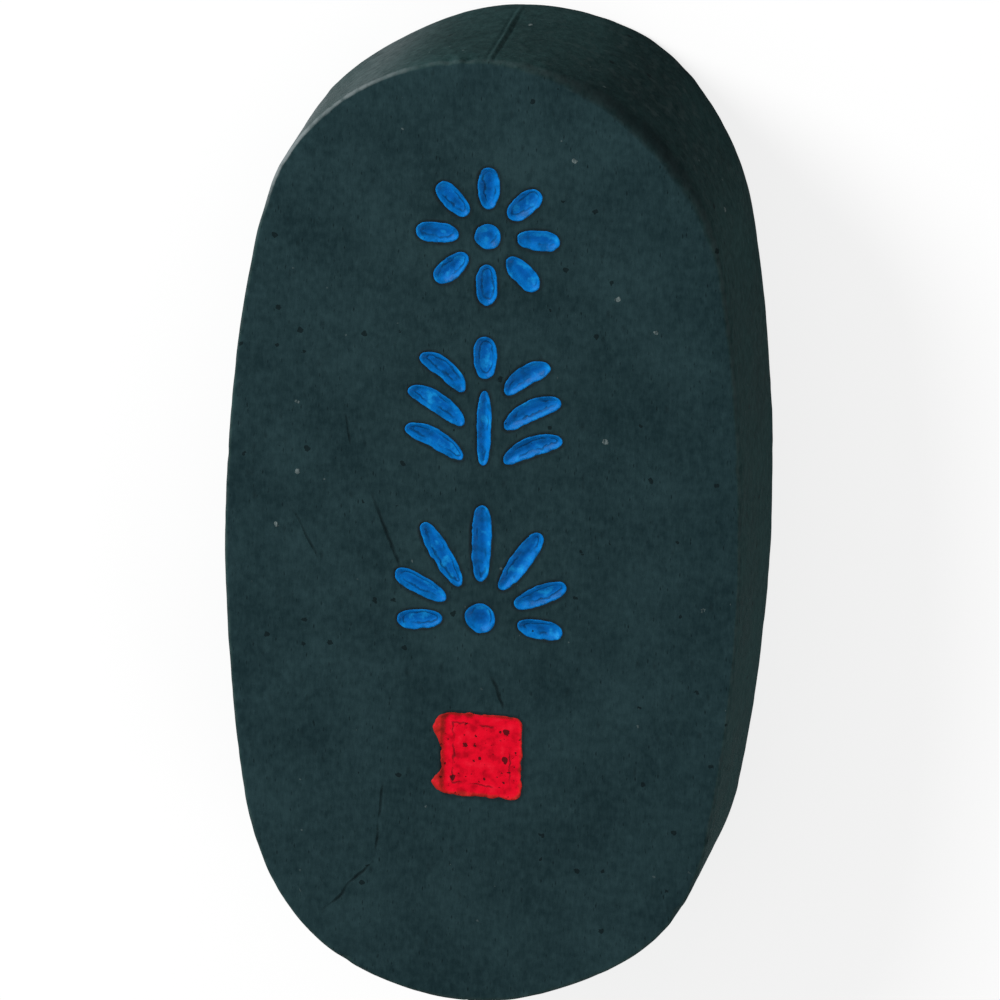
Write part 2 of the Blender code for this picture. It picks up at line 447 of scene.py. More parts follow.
def wall_relief(z):
    """How far the wall stands out from the plain oval at height z, in millimetres."""
    x = rim_points[:, 0]
    z = np.broadcast_to(z, len(x))
    from_seam = x + SEAM_ASIDE + SEAM_WANDER * noise(z, 0 * z, 2.2, 7)
    at_end = np.abs(x) < SEAM_NEAR
    fading = np.clip(0.4 + (FACE - z) / 3, 0, 1) * np.clip(z / 4, 0, 1)
    flash = FLASH_HEIGHT * fading * (1 + 0.4 * noise(z, x, 1.3, 8)) * bell(from_seam, FLASH_REACH)
    furrow = FURROW_DEPTH * fading * bell(np.abs(from_seam) - FURROW_AWAY, FURROW_REACH)
    waves = 0.045 * round_noise(z, 8.0, 9) + 0.014 * round_noise(z, 2.1, 10)
    rough = sweep_bell(*ROUGH_SHOULDER) * bell(z - 0.55 * FACE, 0.5 * FACE)
    grit = 0.10 * round_noise(z, 0.95, 11) + 0.06 * round_noise(z, 0.55, 12)
    skin = 0.014 * round_noise(z, 0.7, 15) * (1 - rough)
    seam = np.where(at_end, flash - furrow, 0.0)
    return seam + waves + skin + rough * grit - WALL_SUNK + lean(z)


CHIPS = [  # direction that the rim faces there, height on the wall, reach, depth
    (95.5, FACE - 0.2, 0.40, 0.24),
    (101.0, FACE - 0.1, 0.50, 0.20),
    (80.0, FACE - 0.3, 0.35, 0.14),
    (40.0, FACE - 0.3, 0.40, 0.14),
    (3.0, FACE - 0.2, 0.35, 0.12),
    (-31.0, FACE - 0.1, 0.50, 0.16),
    (-122.0, FACE - 0.1, 0.45, 0.14),
    (178.0, FACE - 0.1, 0.35, 0.09),
    (-100.0, 0.2, 0.70, 0.24),
    (150.0, 0.2, 0.60, 0.18),
]
print("flash stands", FLASH_HEIGHT, "mm proud, and", len(CHIPS), "chips are broken off the edges")

# %% [markdown]
# Each ring below is one loop of corners. The ring rows bunch up towards the edge,
# where the surface starts to turn over, and the back's last rings have fewer corners,
# because a plain flat back doesn't need them.

# %% Rings from the face to the back
def ring(xy, z):
    """One loop of corners."""
    return np.column_stack([xy, np.broadcast_to(z, len(xy))])


def face_rings():
    """From the fine grid out to where the face's edge starts to turn over."""
    rings = []
    inset = face_edge_radius - lean(FACE)
    inner, outer = core[core_rim], rim_points - rim_normals * inset[:, None]
    for share in np.linspace(0, 1, RING_ROWS + 1)[1:]:
        xy = inner + (outer - inner) * (1 - (1 - share) ** RING_BUNCHING)
        rings.append(ring(xy, face_height(xy)))
    return rings


def wall_rings(top):
    """Round the face's edge, down the wall and round the back's edge."""
    rings = []
    for turn in np.linspace(0, math.pi / 2, EDGE_ROWS + 1)[1:]:
        z = top - face_edge_radius * (1 - math.cos(turn))
        rounding = face_edge_radius * (1 - math.sin(turn))
        out = lean(z) + math.sin(turn) * (wall_relief(z) - lean(z)) - rounding
        rings.append(ring(rim_points + rim_normals * out[:, None], z))
    for share in np.linspace(0, 1, WALL_ROWS + 1)[1:]:
        z = (top - face_edge_radius) * (1 - share) + back_edge_radius * share
        rings.append(ring(rim_points + rim_normals * wall_relief(z)[:, None], z))
    for turn in np.linspace(0, math.pi / 2, EDGE_ROWS)[1:]:
        z = back_edge_radius * (1 - math.sin(turn))
        rounding = back_edge_radius * (1 - math.cos(turn))
        out = lean(z) + math.cos(turn) * (wall_relief(z) - lean(z)) - rounding
        rings.append(ring(rim_points + rim_normals * out[:, None], z))
    return rings


BACK_HOLLOW = 0.16
HOLLOW_EASE = 3.0
BACK_RIPPLE = 0.05
# How far in from the rim each ring of the back lies, and one corner in how many it keeps.
BACK_RINGS = [(1.3, 1), (2.2, 1), (3.4, 1), (4.6, 1), (6.2, 2), (8.0, 2), (9.8, 4), (11.6, 4), (13.2, 8)]
BACK_FLAT = BACK_RINGS[0][0]


def back_rings():
    """In under the back, which is a little hollow and uneven."""
    rings = []
    for inset, thinning in BACK_RINGS:
        xy = (rim_points + rim_normals * (lean(0.0) - inset)[:, None])[::thinning]
        hollow = BACK_HOLLOW * (1 - math.exp(-(((inset - BACK_FLAT) / HOLLOW_EASE) ** 2)))
        ripple = BACK_RIPPLE * (1 + noise(xy[:, 0], xy[:, 1], 5.0, 13)) * min(1.0, (inset - BACK_FLAT) / 2)
        rings.append(ring(xy, hollow + ripple))
    return rings


rings = face_rings()
rings += wall_rings(rings[-1][:, 2])
rings += back_rings()
print(len(rings), "rings run from the fine grid to the middle of the back")

# %% [markdown]
# A chip is a small bite out of an edge. Its corners are pushed inwards and down, the
# more the nearer they are to its middle, so that the bite keeps the net closed.

# %% Break the chips off
def chipped(points):
    """The net's corners after the chips have gone."""
    points = points.copy()
    for direction, z, reach, depth in CHIPS:
        place = np.argmax(sweep_bell(direction, 20))
        middle = np.append(rim_points[place], z)
        near = np.linalg.norm(points - middle, axis=1) < 2.5 * reach
        distance = np.linalg.norm(points[near] - middle, axis=1)
        jag = 1 + 0.5 * noise(points[near, 0] + points[near, 2], points[near, 1], 0.3, 14)
        inwards = np.append(-rim_normals[place], -0.8 if z > FACE / 2 else 0.8)
        points[near] += depth * (bell(distance, reach) * jag)[:, None] * inwards
    return points


# %% [markdown]
# A mesh can carry a number on each corner, and a material can read it. Six such masks
# say where the skin differs: on a rounded edge, on the wall, on the torn shoulder, on
# the left shoulder where the key lamp falls and highlight is painted, in a groove, and
# just round a groove, where the lip's shadow is painted.

# %% Masks on the corners
# The left shoulders that face the key lamp, where highlight is painted on the wall and edge:
LIT_SHOULDER = (125, 12)
LIT_SHARE = 0.42
HIGHLIGHT_SHOULDER = (149, 10)
HIGHLIGHT_SHARE = 1.15
HIGHLIGHT_AT_BACK = 0.30
TORN_SHOULDER = (50, 27)


def spread(count, first, values):
    """Nothing on all the corners, but the values from corner first on."""
    mask = np.zeros(count)
    mask[first:first + np.size(values)] = np.ravel(values)
    return mask


def edge_rows(rows):
    """Rises to 1 and falls again over the rows of a rounded edge."""
    profile = np.sin(math.pi * (np.arange(rows) + 0.6) / (rows + 0.2))
    return np.repeat(profile, len(ways))


def corner_masks(count):
    """Each mask's name and its number for every corner of the cake."""
    first_edge = len(core) + (RING_ROWS - 1) * len(ways)
    last_edge = first_edge + (EDGE_ROWS + WALL_ROWS) * len(ways)
    side_rows = EDGE_ROWS + WALL_ROWS + 3
    fading = np.linspace(1.0, HIGHLIGHT_AT_BACK, side_rows)
    # Painted highlight, strongest at the face's edge and fainter towards the back.
    highlight_and_wear = LIT_SHARE * sweep_bell(*LIT_SHOULDER)
    highlight_and_wear = highlight_and_wear + np.outer(fading, HIGHLIGHT_SHARE * sweep_bell(*HIGHLIGHT_SHOULDER))
    edge = spread(count, first_edge, edge_rows(EDGE_ROWS + 1))
    return {
        "edge": edge + spread(count, last_edge, edge_rows(EDGE_ROWS)),
        "wall": spread(count, first_edge + len(ways), np.ones((side_rows - 1) * len(ways))),
        "torn": spread(count, first_edge, np.tile(sweep_bell(*TORN_SHOULDER), side_rows)),
        "painted_highlight": spread(count, first_edge, highlight_and_wear),
        # Painted shade in a groove's bottom.
        "hollow": spread(count, 0, np.clip(-beds_height(core) / GROOVE_DEPTH, 0, 1)),
        # Painted shadow of the lip, just round a groove.
        "lip_shadow": spread(count, 0, lip_shadow_round_grooves(core)),
    }


# The highlight painted on the left shoulder is strongest in this direction.
print("the left shoulder is rubbed most towards", HIGHLIGHT_SHOULDER[0], "degrees")

# %% [markdown]
# The faces between two rings are quads. Where the next ring has half as many corners,
# three triangles fill the place of two quads.

# %% Build the cake
def make_mesh(name, points, faces):
    """A smooth-shaded object with the given corners, in millimetres, and faces."""
    mesh = bpy.data.meshes.new(name)
    mesh.from_pydata((np.asarray(points) * MM).tolist(), [], faces)
    mesh.update()
    mesh.shade_smooth()
    made = bpy.data.objects.new(name, mesh)
    bpy.context.scene.collection.objects.link(made)
    return made


def store(piece, name, values):
    """Keeps one number per corner on the mesh, for its material to read."""
    layer = piece.data.attributes.new(name, "FLOAT", "POINT")
    layer.data.foreach_set("value", np.asarray(values, dtype=np.float32))


def between(before, after):
    """Faces that join two loops of corner numbers."""
    if len(before) == len(after):
        return np.stack([before, after, np.roll(after, -1), np.roll(before, -1)], axis=1).tolist()
    first, second, third = before[::2], before[1::2], np.roll(before[::2], -1)
    after_next = np.roll(after, -1)
    faces = np.stack([first, after, second], axis=1).tolist()
    faces += np.stack([second, after, after_next], axis=1).tolist()
    faces += np.stack([second, after_next, third], axis=1).tolist()
    return faces


def build_cake():
    """One closed net: the fine grid, then ring after ring to the middle of the back."""
    corners = np.vstack([np.column_stack([core, face_height(core)]), *rings])
    quads = np.stack([numbers[:-1, :-1], numbers[:-1, 1:], numbers[1:, 1:], numbers[1:, :-1]], axis=-1)
    faces = quads.reshape(-1, 4).tolist()
    loop, count = core_rim, len(core)
    for points in rings:
        following = np.arange(count, count + len(points))
        faces += between(loop, following)
        loop = following
        count += len(points)
    faces.append(loop[::-1].tolist())

    cake = make_mesh("pressed_ink_cake", chipped(corners), faces)
    for name, values in corner_masks(len(corners)).items():
        store(cake, name, values)
    return cake


cake = build_cake()
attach(cake, "root")
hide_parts("ink_cake")
print("the cake has", len(cake.data.polygons), "faces")

# %% [markdown]
# The pigment was brushed into the grooves and wiped off the face. It is a thin skin
# that follows the groove, pools in its valley and just laps over its lip, never quite
# evenly. Each skin is a closed body of its own: a net of triangles over its outline
# for the top, the same net a little lower, and a rim that joins them.

# %% A skin of pigment
SKIN_STEP = 0.105
SKIN_EDGE = 0.035
SKIN_BELOW = 0.05
EDGE_EASE = 0.035


def net_over(border):
    """Points and triangles that fill a closed outline."""
    low, high = border.min(axis=0), border.max(axis=0)
    across = np.arange(low[0], high[0], SKIN_STEP)
    up = np.arange(low[1], high[1], SKIN_STEP * 0.866)
    x, y = np.meshgrid(across, up)
    x[1::2] += SKIN_STEP / 2
    grid = np.stack([x.ravel(), y.ravel()], axis=1)
    grid = grid[depth_inside(grid, border) > SKIN_STEP * 0.55]
    places = [Vector(point) for point in np.vstack([border, grid])]
    filled = delaunay_2d_cdt(places, [], [list(range(len(border)))], 1, 0.0001)
    return np.array([tuple(point) for point in filled[0]]), np.array([tuple(face) for face in filled[2]])


def closed_skin(name, points, triangles, top, bottom):
    """A closed body from a net of triangles and its upper and lower heights."""
    a, b, c = (points[triangles[:, corner]] for corner in range(3))
    area = (b[:, 0] - a[:, 0]) * (c[:, 1] - a[:, 1]) - (b[:, 1] - a[:, 1]) * (c[:, 0] - a[:, 0])
    triangles = np.where(area[:, None] > 0, triangles, triangles[:, ::-1])
    edges = {(int(face[k]), int(face[(k + 1) % 3])) for face in triangles for k in range(3)}
    rim = [edge for edge in edges if edge[::-1] not in edges]
    count = len(points)
    faces = triangles.tolist()
    faces += (triangles[:, ::-1] + count).tolist()
    faces += [[start, start + count, end + count, end] for start, end in sorted(rim)]
    corners = np.vstack([np.column_stack([points, top]), np.column_stack([points, bottom])])
    return make_mesh(name, corners, faces)


def paint_skin(name, outline, lap, uneven, pool, seed, smear=0.0):
    """One deposit: its skin laps lap beyond the outline and pools pool deep inside."""
    x, y = outline[:, 0], outline[:, 1]
    reach = lap + uneven * noise(x, y, 0.55, seed) + 0.5 * uneven * noise(x, y, 0.22, seed + 1)
    share = (y - y.min()) / np.ptp(y)
    wiped = np.clip(-outwards(outline)[:, 0], 0, 1) * (bell(share - 0.82, 0.17) + bell(share - 0.14, 0.10))
    reach += smear * wiped * (1 + 0.35 * noise(x, y, 0.45, seed + 4))
    border = even_steps(outline + outwards(outline) * reach[:, None], OUTLINE_STEP)
    points, triangles = net_over(border)
    inside = depth_inside(points, outline)
    from_border = np.maximum(depth_inside(points, border), 0)
    body = SKIN_EDGE + pool * (1 - np.exp(-np.maximum(inside, 0) / 0.16))
    body += 0.018 * noise(points[:, 0], points[:, 1], 0.4, seed + 2) * np.clip(inside / 0.2, 0, 1)
    ground = face_height(points)
    top = ground + body * (1 - np.exp(-from_border / EDGE_EASE))
    skin = closed_skin(name, points, triangles, top, ground - SKIN_BELOW)
    store(skin, "deep", np.tile(inside, 2))
    return skin


BLUE_LAP, BLUE_UNEVEN, BLUE_POOL = 0.03, 0.045, 0.085
blue_skins = {}
for number, name in enumerate(blue_nodes):
    seed = 100 + 5 * number
    skin = paint_skin(f"{name}_pigment", blue_outlines[name], BLUE_LAP, BLUE_UNEVEN, BLUE_POOL, seed)
    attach(skin, "root")
    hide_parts(name)
    blue_skins[name] = skin
blue_faces = sum(len(skin.data.polygons) for skin in blue_skins.values())
print(len(blue_skins), "blue skins with", blue_faces, "faces")

# %% The red field
RED_LAP, RED_UNEVEN, RED_POOL, RED_SMEAR = 0.02, 0.10, 0.06, 0.60
seal_skin = paint_skin(
    "seal_field_pigment", seal_outline, RED_LAP, RED_UNEVEN, RED_POOL, 400, smear=RED_SMEAR
)
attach(seal_skin, "root")
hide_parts("seal_field")
print("the red skin has", len(seal_skin.data.polygons), "faces")

# %% [markdown]
# Materials are node trees. A few short helpers keep them readable: they add a node,
# start or place a node group, calculate, and mix or tint colours. Where a helper takes
# a value, it also takes another node's output, and then connects the two.

# %% Node helpers
def feed(tree, socket, value):
    """Connects an output to the socket, or sets the socket to a plain value."""
    if isinstance(value, bpy.types.NodeSocket):
        tree.links.new(value, socket)
    else:
        socket.default_value = value


def add(tree, kind, inputs=None, **settings):
    """Adds a node with the given settings and inputs."""
    made = tree.nodes.new(kind)
    for name, value in settings.items():
        setattr(made, name, value)
    for name, value in (inputs or {}).items():
        feed(tree, made.inputs[name], value)
    return made


def start_group(name, inputs, outputs):
    """A new node group. Inputs give a default each: a number or a vector."""
    tree = bpy.data.node_groups.new(name, "ShaderNodeTree")
    for socket, default in inputs.items():
        kind = "NodeSocketFloat" if isinstance(default, (int, float)) else "NodeSocketVector"
        made = tree.interface.new_socket(socket, in_out="INPUT", socket_type=kind)
        made.default_value = default
    for socket in outputs:
        tree.interface.new_socket(socket, in_out="OUTPUT", socket_type="NodeSocketFloat")
    return tree, tree.nodes.new("NodeGroupInput").outputs, tree.nodes.new("NodeGroupOutput")


def use(tree, group, **inputs):
    """Places a node group in a tree and gives its outputs."""
    return add(tree, "ShaderNodeGroup", inputs, node_tree=group).outputs


def maths(tree, operation, first, second=0.0, third=0.0, clamp=False):
    """A Math node's output."""
    made = add(tree, "ShaderNodeMath", operation=operation, use_clamp=clamp)
    for socket, value in zip(made.inputs, (first, second, third)):
        feed(tree, socket, value)
    return made.outputs[0]


def times(tree, first, second, clamp=False):
    """A Multiply node's output."""
    return maths(tree, "MULTIPLY", first, second, clamp=clamp)


def vector(tree, operation, *values):
    """A Vector Math node's output: a number where the operation gives one."""
    made = add(tree, "ShaderNodeVectorMath", operation=operation)
    sockets = [socket for socket in made.inputs if socket.enabled]
    for socket, value in zip(sockets, values):
        feed(tree, socket, value)
    return made.outputs["Value" if operation in ("DOT_PRODUCT", "DISTANCE") else "Vector"]


def between_values(tree, value, low, high, start=0.0, end=1.0):
    """value, carried from low..high to start..end and held inside it."""
    limits = {"From Min": low, "From Max": high, "To Min": start, "To Max": end}
    return add(tree, "ShaderNodeMapRange", {"Value": value, **limits}).outputs["Result"]


def mixed(tree, share, first, second, blend="MIX"):
    """Two colours, mixed by share. A Mix node's colour sockets have only numbers."""
    made = add(tree, "ShaderNodeMix", data_type="RGBA", blend_type=blend)
    feed(tree, made.inputs[0], share)
    for number, colour in ((6, first), (7, second)):
        feed(tree, made.inputs[number], (*colour, 1) if isinstance(colour, tuple) else colour)
    return made.outputs[2]


def tinted(tree, colour, mask, strength, tint):
    """The colour, carried towards the tint where the mask is, as far as strength says."""
    return mixed(tree, times(tree, mask, strength, clamp=True), colour, tint)


def place_in_mm(tree):
    """The place on the piece, in millimetres."""
    place = add(tree, "ShaderNodeTexCoord").outputs["Object"]
    return vector(tree, "SCALE", place, 1 / MM)


print("node helpers are ready")

# %% [markdown]
# Three effects are shared by the ink and both pigments, so each is a node group:
# mottling, a fine grain and ragged specks. Worn edges and creases are only the ink's,
# but a group lets one crease be placed six times. All of them work in millimetres from
# the piece's own coordinates, so they need no unwrapping.

# %% Mottling and grain
def make_mottle():
    """Soft clouds round 0.5, of a given size."""
    tree, inputs, outputs = start_group("mottle", {"Size": 4.0, "Detail": 4.0, "Contrast": 1.0}, ["Value"])
    scale = maths(tree, "DIVIDE", 1.0, inputs["Size"])
    place = place_in_mm(tree)
    cloud = add(tree, "ShaderNodeTexNoise", {"Vector": place, "Scale": scale, "Detail": inputs["Detail"]})
    centred = maths(tree, "SUBTRACT", cloud.outputs[0], 0.5)
    spread = maths(tree, "MULTIPLY_ADD", centred, inputs["Contrast"], 0.5, clamp=True)
    tree.links.new(spread, outputs.inputs["Value"])
    return tree


def make_grain():
    """Grain drawn out along the stick, with small pores between the grains."""
    tree, inputs, outputs = start_group("pressed_grain", {"Size": 0.3, "Stretch": 3.0}, ["Height", "Pores"])
    across = maths(tree, "DIVIDE", 1.0, inputs["Size"])
    along = maths(tree, "DIVIDE", across, inputs["Stretch"])
    stretch = add(tree, "ShaderNodeCombineXYZ", {"X": across, "Y": along, "Z": across})
    place = vector(tree, "MULTIPLY", place_in_mm(tree), stretch.outputs[0])
    streaks = add(tree, "ShaderNodeTexNoise", {"Vector": place, "Scale": 1.0, "Detail": 5.0})
    streaks.inputs["Roughness"].default_value = 0.62
    cells = add(tree, "ShaderNodeTexVoronoi", {"Vector": place, "Scale": 0.8})
    pores = between_values(tree, cells.outputs["Distance"], 0.05, 0.30, 1.0, 0.0)
    sparse = between_values(tree, streaks.outputs[0], 0.50, 0.62)
    pores = times(tree, pores, sparse)
    height = maths(tree, "MULTIPLY_ADD", pores, -0.6, streaks.outputs[0])
    tree.links.new(height, outputs.inputs["Height"])
    tree.links.new(pores, outputs.inputs["Pores"])
    return tree


mottle, grain = make_mottle(), make_grain()
print("made", mottle.name, "and", grain.name)

# %% Specks, worn edges and creases
def make_dust():
    """Ragged specks of a given size, in a given share of the cells they could be in."""
    tree, inputs, outputs = start_group("dust", {"Spacing": 2.0, "Size": 0.08, "Share": 0.2}, ["Mask"])
    scale = maths(tree, "DIVIDE", 1.0, inputs["Spacing"])
    place = place_in_mm(tree)
    ragged = add(tree, "ShaderNodeTexNoise", {"Vector": place, "Scale": 3.0, "Detail": 3.0})
    ragged = vector(tree, "SUBTRACT", ragged.outputs[1], (0.5, 0.5, 0.5))
    ragged = vector(tree, "MULTIPLY_ADD", ragged, (0.42, 0.42, 0.42), place)
    cells = add(tree, "ShaderNodeTexVoronoi", {"Vector": ragged, "Scale": scale})
    reach = times(tree, maths(tree, "DIVIDE", inputs["Size"], inputs["Spacing"]), 0.5)
    inside = maths(tree, "LESS_THAN", cells.outputs["Distance"], reach)
    draw = add(tree, "ShaderNodeSeparateColor", {"Color": cells.outputs["Color"]}).outputs[0]
    chosen = maths(tree, "LESS_THAN", draw, inputs["Share"])
    tree.links.new(times(tree, inside, chosen), outputs.inputs["Mask"])
    return tree


def make_wear():
    """Where an edge is rubbed: the edge's own mask, broken up by noise."""
    tree, inputs, outputs = start_group("edge_wear", {"Edge": 0.0, "Amount": 0.5, "Size": 1.2}, ["Mask"])
    scale = maths(tree, "DIVIDE", 1.0, inputs["Size"])
    broken = add(tree, "ShaderNodeTexNoise", {"Vector": place_in_mm(tree), "Scale": scale, "Detail": 6.0})
    reach = maths(tree, "MULTIPLY_ADD", inputs["Edge"], inputs["Amount"], broken.outputs[0])
    worn = between_values(tree, reach, 0.62, 0.95)
    tree.links.new(times(tree, worn, inputs["Edge"], clamp=True), outputs.inputs["Mask"])
    return tree


def make_crease():
    """A hairline from Start to End that wanders a little and fades at both ends."""
    sockets = {"Start": (0.0, 0.0, 0.0), "End": (0.0, 1.0, 0.0), "Width": 0.08, "Wander": 0.3}
    tree, inputs, outputs = start_group("crease", sockets, ["Mask"])
    place = place_in_mm(tree)
    noisy = add(tree, "ShaderNodeTexNoise", {"Vector": place, "Scale": 0.6, "Detail": 1.5})
    drift = vector(tree, "SUBTRACT", noisy.outputs[1], (0.5, 0.5, 0.5))
    moved = vector(tree, "ADD", place, vector(tree, "SCALE", drift, inputs["Wander"]))
    line = vector(tree, "SUBTRACT", inputs["End"], inputs["Start"])
    offset = vector(tree, "SUBTRACT", moved, inputs["Start"])
    reached = vector(tree, "DOT_PRODUCT", offset, line)
    share = maths(tree, "DIVIDE", reached, vector(tree, "DOT_PRODUCT", line, line), clamp=True)
    away = vector(tree, "DISTANCE", offset, vector(tree, "SCALE", line, share))
    near = maths(tree, "SUBTRACT", 1.0, maths(tree, "DIVIDE", away, inputs["Width"]), clamp=True)
    both = times(tree, share, maths(tree, "SUBTRACT", 1.0, share))
    fade = times(tree, both, 6.0, clamp=True)
    tree.links.new(times(tree, near, fade), outputs.inputs["Mask"])
    return tree


dust, wear, crease = make_dust(), make_wear(), make_crease()
print("made", dust.name, wear.name, "and", crease.name)

# %% [markdown]
# Dry ink is nearly black with a cool, greenish slate bloom, and almost matte. Its
# colour changes slowly over the face and is paler where edges are worn; highlight is
# painted on the left shoulder where the key lamp falls. Fine hairlines show where the
# cake was strained as it dried; they, the pores, pits and grooves carry painted shade.
# The colour is made in steps: bare ink first, then wear and painted highlight, then
# tearing and painted shade, then the marks. How much the ink mirrors is one plain
# number on the shader.

# %% The ink
INK_DARK = (0.0074, 0.0214, 0.0252)
INK_PALE = (0.0190, 0.0440, 0.0496)
WALL_DARK = (0.0055, 0.0195, 0.0200)
WALL_PALE = (0.0225, 0.0540, 0.0545)
TORN = (0.0550, 0.0850, 0.0850)
# Paler ink of worn edges, and painted highlight on the left shoulder.
INK_WEAR_AND_HIGHLIGHT = (0.1700, 0.2000, 0.2050)
# Near-black ink: painted shade in pores, pits, hairlines, grooves and on the torn shoulder, and the bare
# ink under rubbed pigment.
INK_BLACK_AND_SHADE = (0.0025, 0.0060, 0.0070)
# Painted shadow just round a groove's lip.
LIP_SHADOW = (0.0070, 0.0080, 0.0100)
DUST_COLOUR = (0.1500, 0.1900, 0.1900)
INK_GLOSS = 0.045
LINES_AT = FACE - FACE_SUNK
INK_RELIEF = 0.05
BUMP_STRENGTH = 0.8
CREASES = [  # from, to, on the face in millimetres, width
    ((-7.6, 2.5), (-5.1, -3.6), 0.16),
    ((0.8, -9.9), (1.9, -12.4), 0.16),
    ((-13.0, 1.0), (-10.9, -2.8), 0.13),
    ((-6.3, -18.0), (-6.8, -23.8), 0.14),
    ((-6.8, -23.8), (-10.4, -28.0), 0.14),
    ((-9.4, 7.8), (-8.9, 5.5), 0.12),
]


def shader_of(material):
    """A new material's node tree and shader."""
    material.use_nodes = True
    shader = material.node_tree.nodes["Principled BSDF"]
    shader.inputs["Metallic"].default_value = 0
    return material.node_tree, shader


def mask_of(tree, name):
    """A number that the mesh's corners carry."""
    return add(tree, "ShaderNodeAttribute", attribute_name=name).outputs["Fac"]


def crease_mask(tree):
    """All the hairlines together."""
    lines = 0.0
    for start, end, width in CREASES:
        places = {"Start": (*start, LINES_AT), "End": (*end, LINES_AT)}
        mask = use(tree, crease, Width=width, Wander=0.5, **places)["Mask"]
        lines = maths(tree, "MAXIMUM", lines, mask)
    return lines


def finish(tree, shader, colour, roughness, height, relief):
    """Gives the shader its colour and roughness, and a relief in millimetres."""
    settings = {"Strength": BUMP_STRENGTH, "Distance": relief * MM, "Height": height}
    bump = add(tree, "ShaderNodeBump", settings)
    feed(tree, shader.inputs["Base Color"], colour)
    feed(tree, shader.inputs["Roughness"], roughness)
    feed(tree, shader.inputs["Normal"], bump.outputs["Normal"])


print("the ink will have", len(CREASES), "creases")

# %% The skin of the ink
def skin_of_ink(tree):
    """The masks that the cake carries, and the patterns that cover all of it."""
    skin = {name: mask_of(tree, name) for name in ("edge", "wall", "painted_highlight", "hollow", "lip_shadow", "torn")}
    # The left shoulder's wall, where highlight is painted.
    skin["rubbed_wall"] = times(tree, skin["wall"], skin["painted_highlight"])
    skin["clouds"] = use(tree, mottle, Size=6.0, Detail=5.0, Contrast=2.2)["Value"]
    skin["patches"] = use(tree, mottle, Size=0.55, Detail=5.0, Contrast=1.8)["Value"]
    fine = use(tree, grain, Size=0.20, Stretch=3.2)
    coarse = use(tree, grain, Size=0.55, Stretch=2.2)
    skin["fine"], skin["coarse"] = fine["Height"], coarse["Height"]
    skin["pores"] = maths(tree, "MAXIMUM", fine["Pores"], times(tree, coarse["Pores"], 0.6))
    skin["lines"] = crease_mask(tree)
    skin["pinholes"] = use(tree, dust, Spacing=2.1, Size=0.40, Share=0.60)["Mask"]
    specks = use(tree, dust, Spacing=3.6, Size=0.36, Share=0.60)["Mask"]
    motes = use(tree, dust, Spacing=1.2, Size=0.17, Share=0.20)["Mask"]
    specks = maths(tree, "MAXIMUM", specks, times(tree, motes, 0.4))
    skin["specks"] = times(tree, specks, between_values(tree, skin["fine"], 0.35, 0.60))
    return skin


def bare_ink(tree, skin):
    """The ink's own colour on the face and on the wall, with painted shade in its pores."""
    share = times(tree, skin["clouds"], 0.35)
    share = maths(tree, "MULTIPLY_ADD", skin["patches"], 0.35, share)
    share = maths(tree, "MULTIPLY_ADD", skin["fine"], 0.55, share)
    share = between_values(tree, share, 0.40, 0.84)
    face_colour = mixed(tree, share, INK_DARK, INK_PALE)
    wall_colour = mixed(tree, share, WALL_DARK, WALL_PALE)
    colour = mixed(tree, skin["wall"], face_colour, wall_colour)
    # Painted shade in the pores.
    return tinted(tree, colour, skin["pores"], 0.65, INK_BLACK_AND_SHADE)


def worn_and_highlit_ink(tree, skin, colour):
    """Paler along the worn edges, with painted highlight on the left shoulder's edge and wall."""
    worn = use(tree, wear, Edge=skin["edge"], Amount=0.42, Size=0.7)["Mask"]
    # A little wear on every edge, and much stronger painted highlight on the left shoulder.
    highlight_and_wear = maths(tree, "MULTIPLY_ADD", skin["painted_highlight"], 1.4, 0.10)
    colour = tinted(tree, colour, worn, highlight_and_wear, INK_WEAR_AND_HIGHLIGHT)
    # Painted highlight on the left shoulder's wall, broken up by patches.
    uneven = maths(tree, "MULTIPLY_ADD", skin["patches"], 0.60, 0.32)
    return tinted(tree, colour, skin["rubbed_wall"], uneven, INK_WEAR_AND_HIGHLIGHT)


def torn_and_shaded_ink(tree, skin, colour):
    """Pale crumbs where one shoulder stuck to the mould, and painted shade on that shoulder's wall and
    edge, which turn from the key lamp.
    """
    crumbs = use(tree, mottle, Size=0.85, Detail=4.0, Contrast=2.2)["Value"]
    crumbs = times(tree, between_values(tree, crumbs, 0.55, 1.0), skin["torn"])
    off_edge = maths(tree, "SUBTRACT", 1.0, skin["edge"])
    crumbs = times(tree, crumbs, off_edge, clamp=True)
    colour = tinted(tree, colour, crumbs, 0.60, TORN)
    # Painted shade on the torn shoulder's wall, and stronger on its edge.
    colour = tinted(tree, colour, times(tree, skin["torn"], skin["wall"]), 0.32, INK_BLACK_AND_SHADE)
    return tinted(tree, colour, times(tree, skin["torn"], skin["edge"]), 0.75, INK_BLACK_AND_SHADE)


def marked_ink(tree, skin, colour):
    """Painted shade in hairlines, in a groove's bottom and in pinholes, painted shadow just round a groove,
    and pale dust.
    """
    # Painted shade in the hairlines.
    colour = tinted(tree, colour, skin["lines"], 0.85, INK_BLACK_AND_SHADE)
    broken = maths(tree, "MULTIPLY_ADD", skin["patches"], 0.8, 0.3)
    # Painted shadow just round a groove's lip, broken up by patches.
    colour = tinted(tree, colour, skin["lip_shadow"], broken, LIP_SHADOW)
    # Painted shade in a groove's bottom.
    colour = tinted(tree, colour, skin["hollow"], 0.9, INK_BLACK_AND_SHADE)
    # Painted shade in the pinholes.
    colour = tinted(tree, colour, skin["pinholes"], 0.75, INK_BLACK_AND_SHADE)
    return mixed(tree, skin["specks"], colour, DUST_COLOUR)


